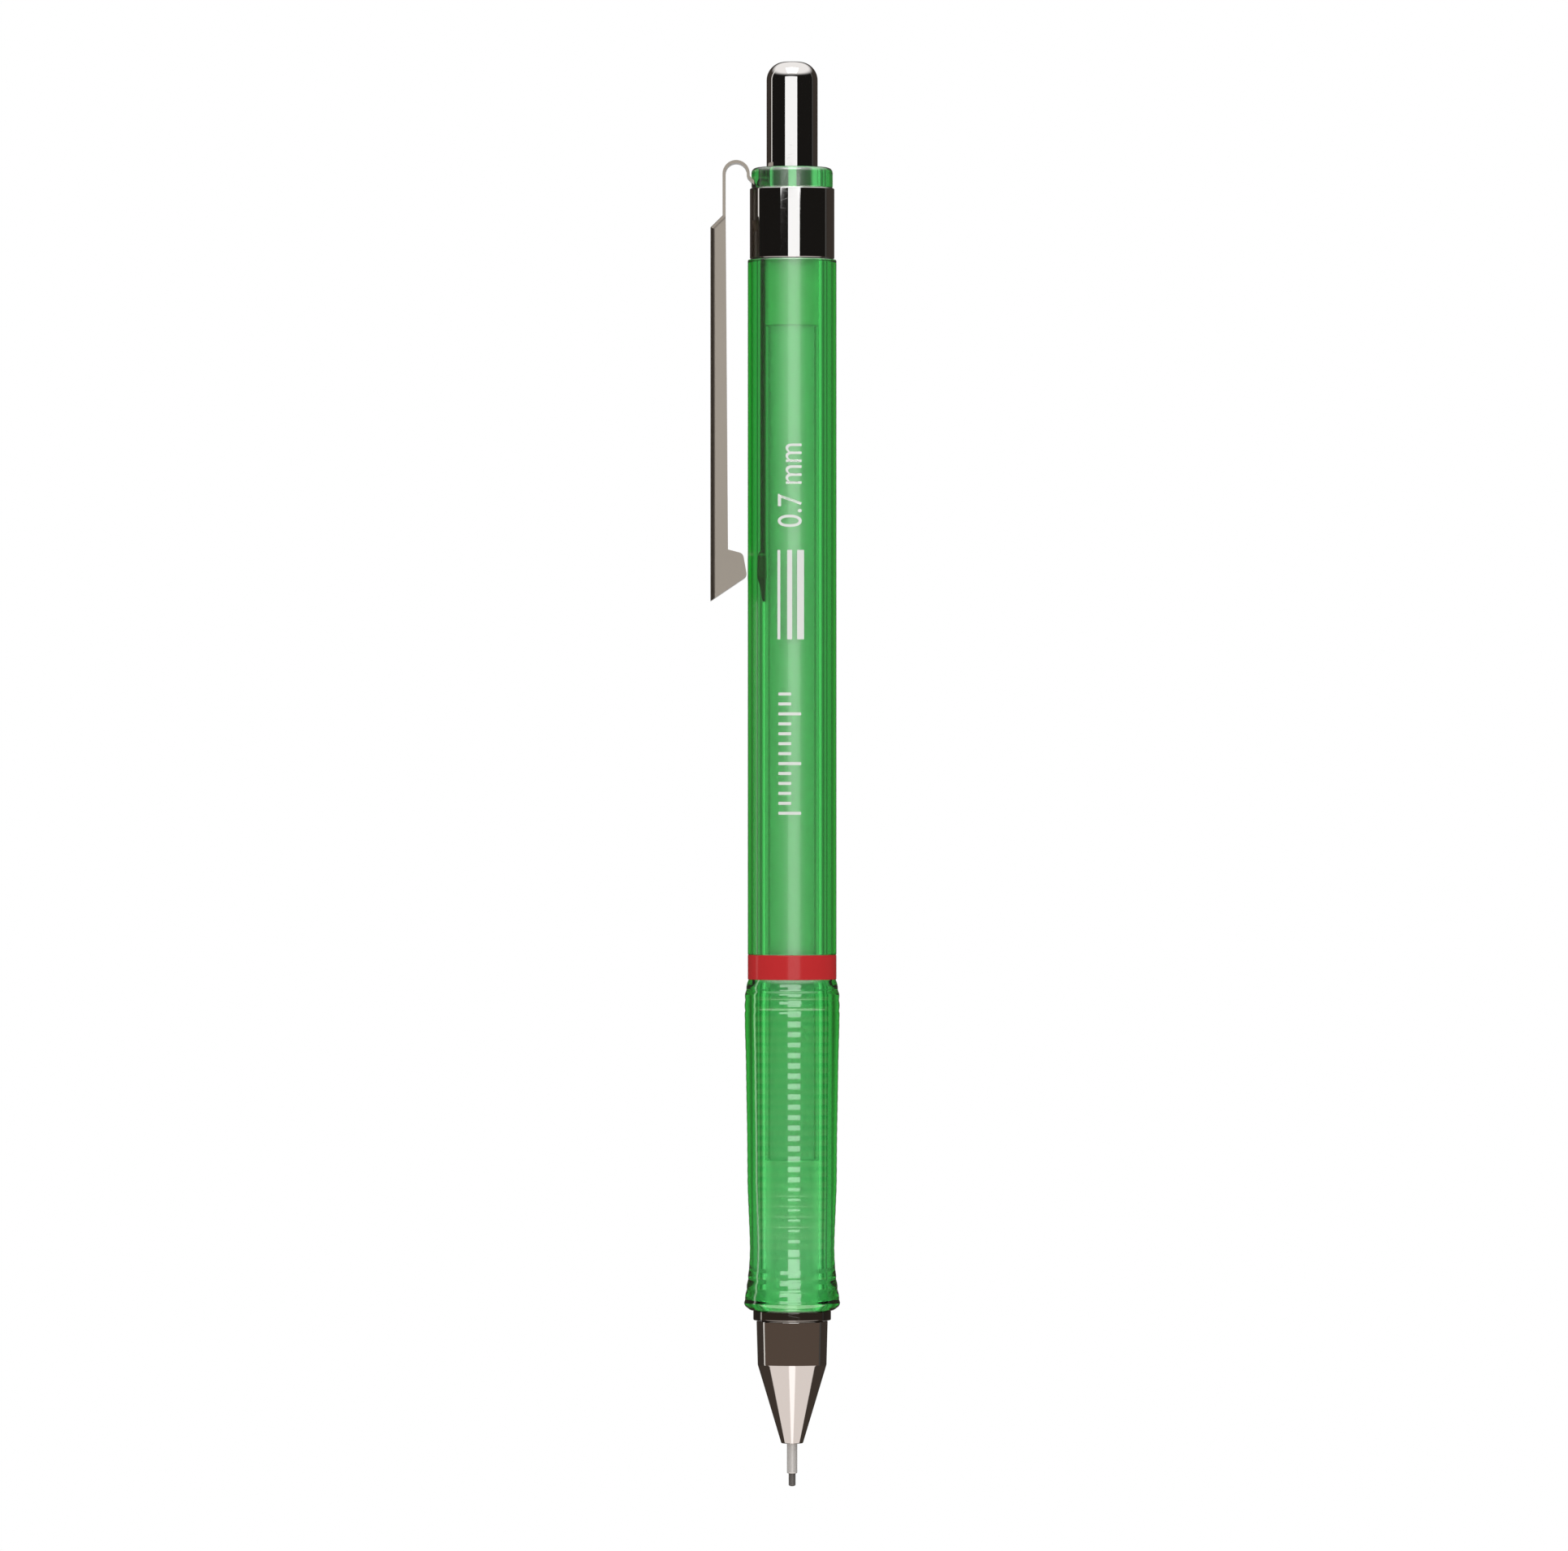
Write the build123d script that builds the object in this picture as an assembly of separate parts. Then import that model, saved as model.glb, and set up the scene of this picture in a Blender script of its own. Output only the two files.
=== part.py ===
from build123d import *
import math
import os

# Mechanical lead holder, 0.7 mm, push-button feed. Millimetres, +Z from the tip to the push cap,
# origin at the writing point of the lead, clip towards -X.

# ---- lead and tip -------------------------------------------------------------------------------
lead_diameter = 0.7
lead_length = 60.0
lead_point_out = 1.3            # lead showing below the guide sleeve
spare_lead_angles = (20.0, 140.0)

sleeve_wall = 0.145
sleeve_out = 3.05               # guide sleeve showing below the cone
sleeve_pressed = 1.65           # shank of the guide sleeve, held inside the cone
sleeve_chamfer = 0.12
sleeve_shank_step = 0.20        # pressed shank outside the sleeve's free length

cone_tip_diameter = 2.2
cone_shoulder_diameter = 7.0
cone_skirt_length = 4.45        # from the shoulder to the cone's top
cone_skirt_wall = 0.575
cone_edge = 0.12

retainer_diameter = 2.4
retainer_length = 1.9
retainer_room = 0.3             # empty height above the retainer

# ---- chuck: stem, jaws and clutch ring ------------------------------------------------------------
press_travel = 4.5
clutch_travel = 0.8
stem_wall = 0.53
jaw_count = 3
jaw_length = 9.1
jaw_step_in = 0.07              # jaws' necks inside the stem's surface
jaw_head_step = 0.47            # jaws' heads outside their necks
jaw_head_straight = 1.4
jaw_taper_length = 2.0
jaw_bite_length = 2.6           # stretch of each jaw that holds the lead
jaw_chamfer = 0.25
jaw_overhang = 0.2              # jaws' taper starts this far below the clutch ring
jaw_arc = 112.0                 # the slits take the rest of each third
jaw_end_gap = 0.2               # under the jaws at a full press
jaw_side_room = 0.4             # round the jaws' heads, for opening
clutch_wall = 0.6
clutch_length = 2.2
clutch_relief = 0.12            # narrow end of the ring clear of the jaws' necks

# ---- front insert -------------------------------------------------------------------------------
flange_lip = 0.15               # flange outside the barrel's nose
flange_thickness = 1.0
spigot_wall = 1.0
thread_pitch = 0.5
thread_depth = 0.22
thread_relief = 0.45            # plain stretch at each end of the thread
web_thickness = 1.0
web_drop = 0.1                  # web's lower face below the flange's lower face
web_side_gap = 0.15             # web's bore round the stem
insert_sleeve_length = 15.2     # sleeve reaching up into the barrel

# ---- feed: tube, eraser, holder and spring --------------------------------------------------------
tube_bore = 3.3
tube_wall = 0.6
eraser_step = 0.2               # eraser's seat cut into the tube's wall
eraser_length = 10.0
eraser_out = 5.0
eraser_round = 0.3
eraser_top_gap = 1.8            # under the cap's end
holder_flange = 0.8
holder_plug = 5.5
holder_funnel = 2.0
holder_lip = 0.1                # flat rim of the funnel, and its floor above the stem
spring_wire = 0.35
spring_side_gap = 0.405         # round the spring in the insert's sleeve
spring_length = 9.0
spring_turns = 8

# ---- barrel, grip and band ----------------------------------------------------------------------
barrel_diameter = 9.0
barrel_length = 70.2            # full-diameter stretch, from the band to the clip ring
barrel_edge = 0.15
core_step = 0.7                 # barrel's nose inside its surface, carrying the grip and the band
band_length = 2.5
grip_length = 33.4
rib_pitch = 1.054
rib_depth = 0.06
# share of the grip's length from its lower end, and how far the ribs stand out from the barrel
grip_outline = (
    (0.0, -0.08), (0.022, 0.4), (0.052, 0.22), (0.082, 0.07), (0.13, -0.13), (0.182, -0.21),
    (0.23, -0.17), (0.277, -0.1), (0.375, 0.04), (0.523, 0.08), (0.672, 0.17), (0.768, 0.22),
    (0.843, 0.3), (0.916, 0.34), (0.955, 0.3), (0.98, 0.14), (1.0, 0.0),
)

# ---- rear bushing and cap -----------------------------------------------------------------------
bushing_wall = 0.42
bushing_depth = 6.7             # bushing reaching down into the barrel
collar_lip = 0.17               # collar outside the neck
collar_height = 2.1
collar_round = 0.6
cap_wall = 0.3
cap_out = 10.7                  # cap showing above the collar
cap_inside = 3.8                # cap hidden inside the bushing
cap_end_gap = 0.4               # under the cap at a full press
cap_round = 1.9
cap_edge = 0.1

# ---- clip ring and clip ---------------------------------------------------------------------------
ring_step = 0.2                 # ring inside the barrel's surface
ring_height = 7.2
ring_wall = 0.35
ring_edge = 0.12
strip_thickness = 0.3
strip_width = 3.0
tongue_fit = 0.005              # tongue's edges inside the ring
tongue_floor = 0.4              # tongue's lower end above the barrel's end
tongue_bend = 0.5
tongue_bend_rise = 0.15         # bend above the ring's top
arch_radius = 1.22              # middle line of the arch
arch_stand_off = 1.35           # middle of the arch outside the ring
arch_rise = 1.43                # middle of the arch above the ring's top
arch_foot = 0.3                 # straight stretch under the arch
slot_top_room = 1.3             # slot above the ring's top
slot_side_gap = 0.05
clip_width = 4.0
clip_sheet = 0.35
clip_round = 0.5
clip_stand_off = 3.74           # outer face of the arm outside the barrel
clip_slope_drop = 2.8           # arm's slope starts this far below the ring's top
clip_slope_height = 1.2
clip_reach = 41.7               # lowest point of the arm below the ring's top
flange_depth = 1.75             # depth of the channel above the foot
foot_height = 5.2
foot_slant = 2.5                # rise of the foot's lower side
foot_lead = 0.4                 # how far the foot's upper corner draws back
foot_round = 0.6
foot_gap = 0.05                 # foot above the barrel's surface

# ---- clearances, radial unless said -------------------------------------------------------------
lead_fit = 0.03                 # lead in the guide sleeve
retainer_fit = 0.02             # lead in its retainer
stem_fit = 0.07                 # lead in the stem
bite_fit = 0.01                 # jaws on the lead
slide_fit = 0.08                # tube and cap in their bores
cap_fit = 0.05                  # cap on the tube
thread_fit = 0.05
clutch_fit = 0.05               # clutch ring in its chamber
taper_fit = 0.04                # clutch ring round the jaws
spare_fit = 0.15                # spare leads inside the tube
seat_gap = 0.05                 # axial, between the cone and what it closes on

# ---- diameters worked out from the above, from the lead outwards ----------------------------------
sleeve_bore = lead_diameter + 2 * lead_fit
sleeve_diameter = sleeve_bore + 2 * sleeve_wall
shank_diameter = sleeve_diameter + 2 * sleeve_shank_step
retainer_bore = lead_diameter + 2 * retainer_fit
stem_bore = lead_diameter + 2 * stem_fit
stem_diameter = stem_bore + 2 * stem_wall
jaw_neck_diameter = stem_diameter - 2 * jaw_step_in
jaw_head_diameter = jaw_neck_diameter + 2 * jaw_head_step
clutch_diameter = jaw_head_diameter + 2 * clutch_wall
cone_cavity_diameter = jaw_head_diameter + 2 * jaw_side_room
spigot_diameter = clutch_diameter + 2 * (clutch_fit + spigot_wall)
cone_top_diameter = spigot_diameter + 2 * (thread_fit + cone_skirt_wall)
web_bore = stem_diameter + 2 * web_side_gap

tube_diameter = tube_bore + 2 * tube_wall
eraser_diameter = tube_bore + 2 * eraser_step
spare_lead_ring = (tube_bore - lead_diameter) / 2 - spare_fit
guide_bore = tube_diameter + 2 * slide_fit
spring_mean_diameter = guide_bore - 2 * spring_side_gap - spring_wire
cap_diameter = tube_diameter + 2 * (cap_fit + cap_wall)
cap_bore = cap_diameter + 2 * slide_fit

barrel_bore = guide_bore + 2 * bushing_wall
core_diameter = barrel_diameter - 2 * core_step
flange_diameter = core_diameter + 2 * flange_lip
ring_diameter = barrel_diameter - 2 * ring_step
neck_diameter = ring_diameter - 2 * ring_wall
collar_diameter = neck_diameter + 2 * collar_lip
tongue_face = math.sqrt((neck_diameter / 2) ** 2 - (strip_width / 2) ** 2) - tongue_fit
tongue_offset = tongue_face - strip_thickness / 2
arch_offset = ring_diameter / 2 + arch_stand_off
clip_face_offset = barrel_diameter / 2 + clip_stand_off

# ---- heights worked out from the above, from the writing point up ---------------------------------
z_sleeve_tip = lead_point_out
z_cone_tip = z_sleeve_tip + sleeve_out
z_retainer = z_cone_tip + sleeve_pressed
z_cavity = z_retainer + retainer_length + retainer_room
z_jaw_tip = z_cavity + jaw_end_gap + press_travel
z_jaw_taper = z_jaw_tip + jaw_head_straight
z_jaw_root = z_jaw_tip + jaw_length
z_clutch = z_jaw_taper + jaw_overhang
z_stop = z_clutch - clutch_travel
z_spigot = z_stop + seat_gap
z_web_bottom = z_clutch + clutch_length
z_web_top = z_web_bottom + web_thickness
z_flange_bottom = z_web_bottom + web_drop
z_flange_top = z_flange_bottom + flange_thickness
z_cone_top = z_flange_bottom - seat_gap
z_cone_shoulder = z_cone_top - cone_skirt_length
z_holder = z_web_top + spring_length
z_tube = z_holder + holder_flange
z_funnel = z_tube + holder_plug - holder_funnel
z_grip_top = z_flange_top + grip_length
z_band_top = z_grip_top + band_length
z_barrel_top = z_band_top + barrel_length
z_ring_top = z_barrel_top + ring_height
z_arch = z_ring_top + arch_rise
z_collar_top = z_ring_top + collar_height
z_cap_bottom = z_collar_top - cap_inside
z_cap_top = z_collar_top + cap_out
z_tube_top = z_cap_top - cap_wall - eraser_top_gap - eraser_out


def rounded_face(outline, rounds=()):
    """Closed flat outline; rounds is (corner point, radius) pairs."""
    face = make_face(Polyline(*outline, close=True))
    for corner, radius in rounds:
        face = fillet(face.vertices().sort_by_distance(corner)[0], radius)
    return face


def turned(outline, rounds=()):
    """Solid of revolution about Z of an outline of (radius, height) points."""
    return revolve(Plane.XZ * rounded_face(outline, rounds), Axis.Z)


def tube(outer, inner, bottom, top):
    return turned([(inner / 2, bottom), (outer / 2, bottom), (outer / 2, top), (inner / 2, top)])


def barrel():
    bore, core, outer = barrel_bore / 2, core_diameter / 2, barrel_diameter / 2
    return turned(
        [
            (bore, z_flange_top), (core, z_flange_top), (core, z_band_top), (outer, z_band_top),
            (outer, z_barrel_top), (bore, z_barrel_top),
        ],
        rounds=[((outer, z_barrel_top), barrel_edge)],
    )


def grip_stand_out(share):
    """How far the ribs stand out from the barrel at a share of the grip's length."""
    for (low, out_low), (high, out_high) in zip(grip_outline, grip_outline[1:]):
        if share <= high:
            return out_low + (out_high - out_low) * (share - low) / (high - low)
    return grip_outline[-1][1]


def grip_sleeve():
    core = core_diameter / 2
    rib_count = round(grip_length / rib_pitch)

    def point(share, depth):
        return barrel_diameter / 2 + grip_stand_out(share) - depth, z_flange_top + share * grip_length

    ribs = [
        ThreePointArc(
            point(i / rib_count, rib_depth),
            point((i + 0.5) / rib_count, 0),
            point((i + 1) / rib_count, rib_depth),
        )
        for i in range(rib_count)
    ]
    back = Polyline(ribs[-1] @ 1, (core, z_grip_top), (core, z_flange_top), ribs[0] @ 0)
    return revolve(Plane.XZ * make_face(Curve() + [*ribs, back]), Axis.Z)


def red_band():
    return tube(barrel_diameter, core_diameter, z_grip_top, z_band_top)


def thread_rings(radius, bottom, top):
    """Outline of a thread's crests and roots, as rings, from the lower end to the upper one."""
    count = int((top - bottom - 2 * thread_relief) / thread_pitch)
    start = (bottom + top - count * thread_pitch) / 2
    points = []
    for i in range(count):
        z = start + i * thread_pitch
        points += [(radius, z + thread_pitch * 0.1), (radius - thread_depth, z + thread_pitch * 0.5),
                   (radius, z + thread_pitch * 0.9)]
    return points


def front_insert():
    chamber = clutch_diameter / 2 + clutch_fit
    spigot = spigot_diameter / 2
    return turned([
        (chamber, z_spigot), (spigot - thread_depth, z_spigot), (spigot, z_spigot + thread_depth),
        *thread_rings(spigot, z_spigot, z_flange_bottom),
        (spigot, z_flange_bottom), (flange_diameter / 2, z_flange_bottom),
        (flange_diameter / 2, z_flange_top), (barrel_bore / 2, z_flange_top),
        (barrel_bore / 2, z_flange_top + insert_sleeve_length),
        (guide_bore / 2, z_flange_top + insert_sleeve_length),
        (guide_bore / 2, z_web_top), (web_bore / 2, z_web_top), (web_bore / 2, z_web_bottom),
        (chamber, z_web_bottom),
    ])


def rear_bushing():
    """Guides the tube and the cap, carries the clip ring on its neck and ends in a collar."""
    neck, collar = neck_diameter / 2, collar_diameter / 2
    z_low, z_step = z_barrel_top - bushing_depth, z_cap_bottom - press_travel - cap_end_gap
    body = turned(
        [
            (guide_bore / 2, z_low), (barrel_bore / 2, z_low), (barrel_bore / 2, z_barrel_top),
            (neck, z_barrel_top), (neck, z_ring_top), (collar, z_ring_top), (collar, z_collar_top),
            (cap_bore / 2, z_collar_top), (cap_bore / 2, z_step), (guide_bore / 2, z_step),
        ],
        rounds=[((collar, z_collar_top), collar_round)],
    )
    # the slot for the clip's tongue, and the notch under the collar where the strip bends out
    slot_inner = tongue_offset - strip_thickness / 2
    slot_length = ring_height + slot_top_room - tongue_floor
    slot = Box(
        collar, strip_width + 2 * slot_side_gap, slot_length,
        align=(Align.MAX, Align.CENTER, Align.MIN),
    )
    return body - Pos(-slot_inner, 0, z_barrel_top + tongue_floor) * slot


def clip_ring():
    outer, inner = ring_diameter / 2, neck_diameter / 2
    return turned(
        [(inner, z_barrel_top), (outer, z_barrel_top), (outer, z_ring_top), (inner, z_ring_top)],
        rounds=[((outer, z_barrel_top), ring_edge), ((outer, z_ring_top), ring_edge)],
    )


def bent_strip(*path):
    """The clip's flat strip along a path in the XZ plane, its width along Y."""
    face = trace(Curve() + list(path), strip_thickness)
    return extrude(Plane.XZ * face, strip_width / 2, both=True)


def clip_tongue():
    """Half of the clip's bent strip: trapped under the ring, then up to the crown of the arch."""
    riser = FilletPolyline(
        (-tongue_offset, z_barrel_top + tongue_floor),
        (-tongue_offset, z_ring_top + tongue_bend_rise),
        (-arch_offset + arch_radius, z_arch - arch_foot),
        (-arch_offset + arch_radius, z_arch),
        radius=tongue_bend,
    )
    return bent_strip(riser, CenterArc((-arch_offset, z_arch), arch_radius, 0, 90))


def clip_arm():
    """Other half of the arch, then the pressed channel that runs down the barrel to its rounded foot."""
    leg = arch_offset + arch_radius
    half = strip_thickness / 2
    z_slope = z_ring_top - clip_slope_drop
    z_face = z_slope - clip_slope_height
    z_low = z_ring_top - clip_reach
    z_foot = z_low + foot_height
    touch = barrel_diameter / 2 + foot_gap
    edge = clip_face_offset - flange_depth
    sheet = clip_sheet

    arch = CenterArc((-arch_offset, z_arch), arch_radius, 90, 90)
    upper = bent_strip(arch, Line((-leg, z_arch), (-leg, z_slope)))

    outline = rounded_face(
        [
            (-leg - half, z_slope), (-clip_face_offset, z_face), (-clip_face_offset, z_low),
            (-touch, z_low + foot_slant), (-touch - foot_lead, z_foot - foot_lead),
            (-edge, z_foot), (-leg + half, z_slope),
        ],
        rounds=[
            ((-touch, z_low + foot_slant), foot_round),
            ((-touch - foot_lead, z_foot - foot_lead), foot_round),
        ],
    )
    body = extrude(Plane.XZ * outline, clip_width / 2, both=True)
    outer = body.edges().filter_by(GeomType.LINE).filter_by(
        lambda e: abs(e.center().Y) > sheet and (e @ 0.5).X < -leg - half / 2 and abs((e % 0.5).Y) < 0.5
    )
    body = fillet(outer, clip_round)

    hollow = make_face(Polyline(
        (-touch, z_foot), (-touch, z_slope - sheet), (-leg, z_slope - sheet),
        (-clip_face_offset + sheet, z_face - sheet / 2),
        (-clip_face_offset + sheet, z_low + 2 * sheet),
        (-touch - 2 * sheet, z_low + foot_slant + sheet / 2),
        (-touch - foot_lead - sheet, z_foot - foot_lead - sheet),
        (-edge - sheet, z_foot - sheet), (-edge - sheet, z_foot),
        close=True,
    ))
    return upper + body - extrude(Plane.XZ * hollow, clip_width / 2 - sheet, both=True)


def tip_cone():
    thread = spigot_diameter / 2 + thread_fit
    cavity, pocket, hole = cone_cavity_diameter / 2, retainer_diameter / 2, shank_diameter / 2
    return turned(
        [
            (hole, z_cone_tip), (cone_tip_diameter / 2, z_cone_tip),
            (cone_shoulder_diameter / 2, z_cone_shoulder), (cone_top_diameter / 2, z_cone_top),
            (thread, z_cone_top), (thread, z_stop), (cavity, z_stop), (cavity, z_cavity),
            (pocket, z_cavity), (pocket, z_retainer), (hole, z_retainer),
        ],
        rounds=[
            ((cone_tip_diameter / 2, z_cone_tip), cone_edge),
            ((cone_top_diameter / 2, z_cone_top), cone_edge),
        ],
    )


def guide_sleeve():
    outer, inner, shank = sleeve_diameter / 2, sleeve_bore / 2, shank_diameter / 2
    return turned([
        (inner, z_sleeve_tip), (outer - sleeve_chamfer, z_sleeve_tip),
        (outer, z_sleeve_tip + sleeve_chamfer), (outer, z_cone_tip), (shank, z_cone_tip),
        (shank, z_retainer), (inner, z_retainer),
    ])


def lead_retainer():
    return tube(retainer_diameter, retainer_bore, z_retainer, z_retainer + retainer_length)


def lead_rod(x, y, bottom):
    return Pos(x, y, bottom + lead_length / 2) * Cylinder(lead_diameter / 2, lead_length)


def lead():
    return lead_rod(0, 0, 0)


def spare_leads():
    """Spare leads standing on the funnel inside the tube."""
    outer_reach = spare_lead_ring + lead_diameter / 2
    funnel_slope = holder_funnel / (tube_bore / 2 - stem_bore / 2)
    bottom = z_funnel + (outer_reach - stem_bore / 2) * funnel_slope
    return Compound(children=[
        lead_rod(
            spare_lead_ring * math.cos(math.radians(angle)),
            spare_lead_ring * math.sin(math.radians(angle)),
            bottom,
        )
        for angle in spare_lead_angles
    ])


def lead_tube():
    outer, inner, seat = tube_diameter / 2, tube_bore / 2, eraser_diameter / 2
    z_seat = z_tube_top - (eraser_length - eraser_out)
    return turned([
        (inner, z_tube), (outer, z_tube), (outer, z_tube_top), (seat, z_tube_top),
        (seat, z_seat), (inner, z_seat),
    ])


def eraser():
    radius = eraser_diameter / 2
    top = z_tube_top + eraser_out
    return turned(
        [(0, top - eraser_length), (radius, top - eraser_length), (radius, top), (0, top)],
        rounds=[((radius, top), eraser_round)],
    )


def chuck_holder():
    """Plug that closes the tube's lower end, seats the spring and funnels the leads into the stem."""
    plug, stem, bore = tube_bore / 2, stem_diameter / 2, stem_bore / 2
    return turned([
        (stem, z_holder), (tube_diameter / 2, z_holder), (tube_diameter / 2, z_tube), (plug, z_tube),
        (plug, z_tube + holder_plug), (plug - holder_lip, z_tube + holder_plug), (bore, z_funnel),
        (bore, z_funnel - holder_lip), (stem, z_funnel - holder_lip),
    ])


def chuck_stem():
    return tube(stem_diameter, stem_bore, z_jaw_root, z_funnel - holder_lip)


def chuck_jaw(index):
    """One of the jaws: a sector with a head whose taper is drawn up into the clutch ring."""
    neck, head = jaw_neck_diameter / 2, jaw_head_diameter / 2
    bite, relief = lead_diameter / 2 + bite_fit, stem_bore / 2
    outline = [
        (bite, z_jaw_tip), (head - jaw_chamfer, z_jaw_tip), (head, z_jaw_tip + jaw_chamfer),
        (head, z_jaw_taper), (neck, z_jaw_taper + jaw_taper_length), (neck, z_jaw_root),
        (relief, z_jaw_root), (relief, z_jaw_tip + jaw_bite_length), (bite, z_jaw_tip + jaw_bite_length),
    ]
    face = Plane.XZ * make_face(Polyline(*outline, close=True))
    middle = 360 / jaw_count * index
    return Rot(0, 0, middle - jaw_arc / 2) * revolve(face, Axis.Z, jaw_arc)


def clutch_ring():
    """Ring whose taper runs parallel to the jaws' own, a running clearance away."""
    slope = jaw_head_step / jaw_taper_length
    wide = jaw_head_diameter / 2 + taper_fit - jaw_overhang * slope
    narrow = jaw_neck_diameter / 2 + taper_fit + clutch_relief
    z_narrow = z_clutch + (wide - narrow) / slope
    return turned([
        (wide, z_clutch), (clutch_diameter / 2, z_clutch), (clutch_diameter / 2, z_web_bottom),
        (narrow, z_web_bottom), (narrow, z_narrow),
    ])


def return_spring():
    coil_height = spring_length - spring_wire
    path = Pos(0, 0, z_web_top + spring_wire / 2) * Helix(
        coil_height / spring_turns, coil_height, spring_mean_diameter / 2
    )
    section = Plane(origin=path @ 0, z_dir=path % 0) * Circle(spring_wire / 2)
    return sweep(section, path=path, is_frenet=True)


def push_cap():
    outer, inner = cap_diameter / 2, cap_diameter / 2 - cap_wall
    return turned(
        [
            (inner, z_cap_bottom), (outer, z_cap_bottom), (outer, z_cap_top), (0, z_cap_top),
            (0, z_cap_top - cap_wall), (inner, z_cap_top - cap_wall),
        ],
        rounds=[
            ((outer, z_cap_top), cap_round),
            ((inner, z_cap_top - cap_wall), cap_round - cap_wall),
            ((outer, z_cap_bottom), cap_edge),
        ],
    )


pieces = {
    "barrel": barrel,
    "grip_sleeve": grip_sleeve,
    "red_band": red_band,
    "front_insert": front_insert,
    "rear_bushing": rear_bushing,
    "clip_ring": clip_ring,
    "clip_tongue": clip_tongue,
    "clip_arm": clip_arm,
    "tip_cone": tip_cone,
    "guide_sleeve": guide_sleeve,
    "lead_retainer": lead_retainer,
    "lead": lead,
    "spare_leads": spare_leads,
    "lead_tube": lead_tube,
    "eraser": eraser,
    "chuck_holder": chuck_holder,
    "chuck_stem": chuck_stem,
    "clutch_ring": clutch_ring,
    "return_spring": return_spring,
    "push_cap": push_cap,
}

os.makedirs("parts", exist_ok=True)
for name, make in pieces.items():
    export_step(make(), f"parts/{name}.step")
for index in range(jaw_count):
    export_step(chuck_jaw(index), f"parts/chuck_jaw_{index + 1}.step")
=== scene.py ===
import math
import bpy
import numpy as np
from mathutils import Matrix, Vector


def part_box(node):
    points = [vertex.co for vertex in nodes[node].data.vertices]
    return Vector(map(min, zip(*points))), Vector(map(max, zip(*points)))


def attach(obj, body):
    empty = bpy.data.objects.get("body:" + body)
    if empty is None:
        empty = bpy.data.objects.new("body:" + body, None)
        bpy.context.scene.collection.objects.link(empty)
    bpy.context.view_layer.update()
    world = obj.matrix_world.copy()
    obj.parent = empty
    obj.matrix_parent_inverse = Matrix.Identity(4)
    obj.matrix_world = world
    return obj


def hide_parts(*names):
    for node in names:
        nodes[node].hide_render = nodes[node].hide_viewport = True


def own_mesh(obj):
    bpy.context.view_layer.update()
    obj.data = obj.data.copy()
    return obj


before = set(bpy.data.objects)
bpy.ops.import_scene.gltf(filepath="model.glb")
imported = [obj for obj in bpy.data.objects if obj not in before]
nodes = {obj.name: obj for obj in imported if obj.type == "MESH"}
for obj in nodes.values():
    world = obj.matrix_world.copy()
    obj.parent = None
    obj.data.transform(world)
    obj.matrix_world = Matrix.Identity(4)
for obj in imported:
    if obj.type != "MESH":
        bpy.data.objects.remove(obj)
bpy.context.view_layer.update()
mm = 0.001
print("frame loaded:", len(nodes), "nodes")


def nodeSpan(node):
    # lowest and highest height of a CAD node and its largest radius about the axis, in mm
    low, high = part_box(node)
    return low.z / mm, high.z / mm, high.y / mm


zSleeve = nodeSpan("guide_sleeve")[0]
zConeTop = nodeSpan("tip_cone")[1]
zFlange, zInsertTop, flangeR = nodeSpan("front_insert")
zGrip, zGripTop = nodeSpan("grip_sleeve")[:2]
zBand, zBandTop, barrelR = nodeSpan("red_band")
zBarrelTop = nodeSpan("barrel")[1]
zBushing, zCollarTop = nodeSpan("rear_bushing")[:2]
zRingTop, ringR = nodeSpan("clip_ring")[1:]
zTube, zTubeTop, tubeR = nodeSpan("lead_tube")
zCap, zCapTop, capR = nodeSpan("push_cap")
zSpring, zSpringTop, springR = nodeSpan("return_spring")
zLeadTop, leadR = nodeSpan("lead")[1:]

shading = {
    "smoothAngle": 32, "ribAngle": 50, "inset": 0.02, "longSide": 0.25, "arcSteps": 5, "around": 192,
}


def addFlat(name, points, faces):
    # an object from points in mm, with every face shaded flat
    mesh = bpy.data.meshes.new(name)
    mesh.from_pydata((np.asarray(points) * mm).tolist(), [], faces)
    piece = bpy.data.objects.new(name, mesh)
    bpy.context.scene.collection.objects.link(piece)
    return piece


def addMesh(name, points, faces, smoothAngle=shading["smoothAngle"]):
    # the same, shaded smooth except at edges that turn by more than the angle
    piece = addFlat(name, points, faces)
    piece.data.validate()
    piece.data.shade_smooth()
    piece.data.set_sharp_from_angle(angle=math.radians(smoothAngle))
    return piece


def roundedOutline(corners, arcSteps=shading["arcSteps"]):
    # corners are (radius, height, rounding); each rounding is an arc tangent to both sides:
    # centre = corner + bisector * rounding / sin(half the angle), swept between the tangent points
    outline = []
    for i, (r, z, rounding) in enumerate(corners):
        here = np.array([r, z], float)
        if rounding <= 0:
            outline.append(here[None])
            continue
        before = np.array(corners[i - 1][:2], float) - here
        after = np.array(corners[(i + 1) % len(corners)][:2], float) - here
        before /= np.linalg.norm(before)
        after /= np.linalg.norm(after)
        half = math.acos(np.clip(before @ after, -1, 1)) / 2
        bisector = (before + after) / np.linalg.norm(before + after)
        centre = here + bisector * rounding / math.sin(half)
        first = here + before * rounding / math.tan(half) - centre
        last = here + after * rounding / math.tan(half) - centre
        t = np.linspace(0, 1, arcSteps)[:, None]
        turn = math.pi - 2 * half
        blend = (np.sin((1 - t) * turn) * first + np.sin(t * turn) * last) / math.sin(turn)
        outline.append(centre + blend)
    return np.concatenate(outline)


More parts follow.
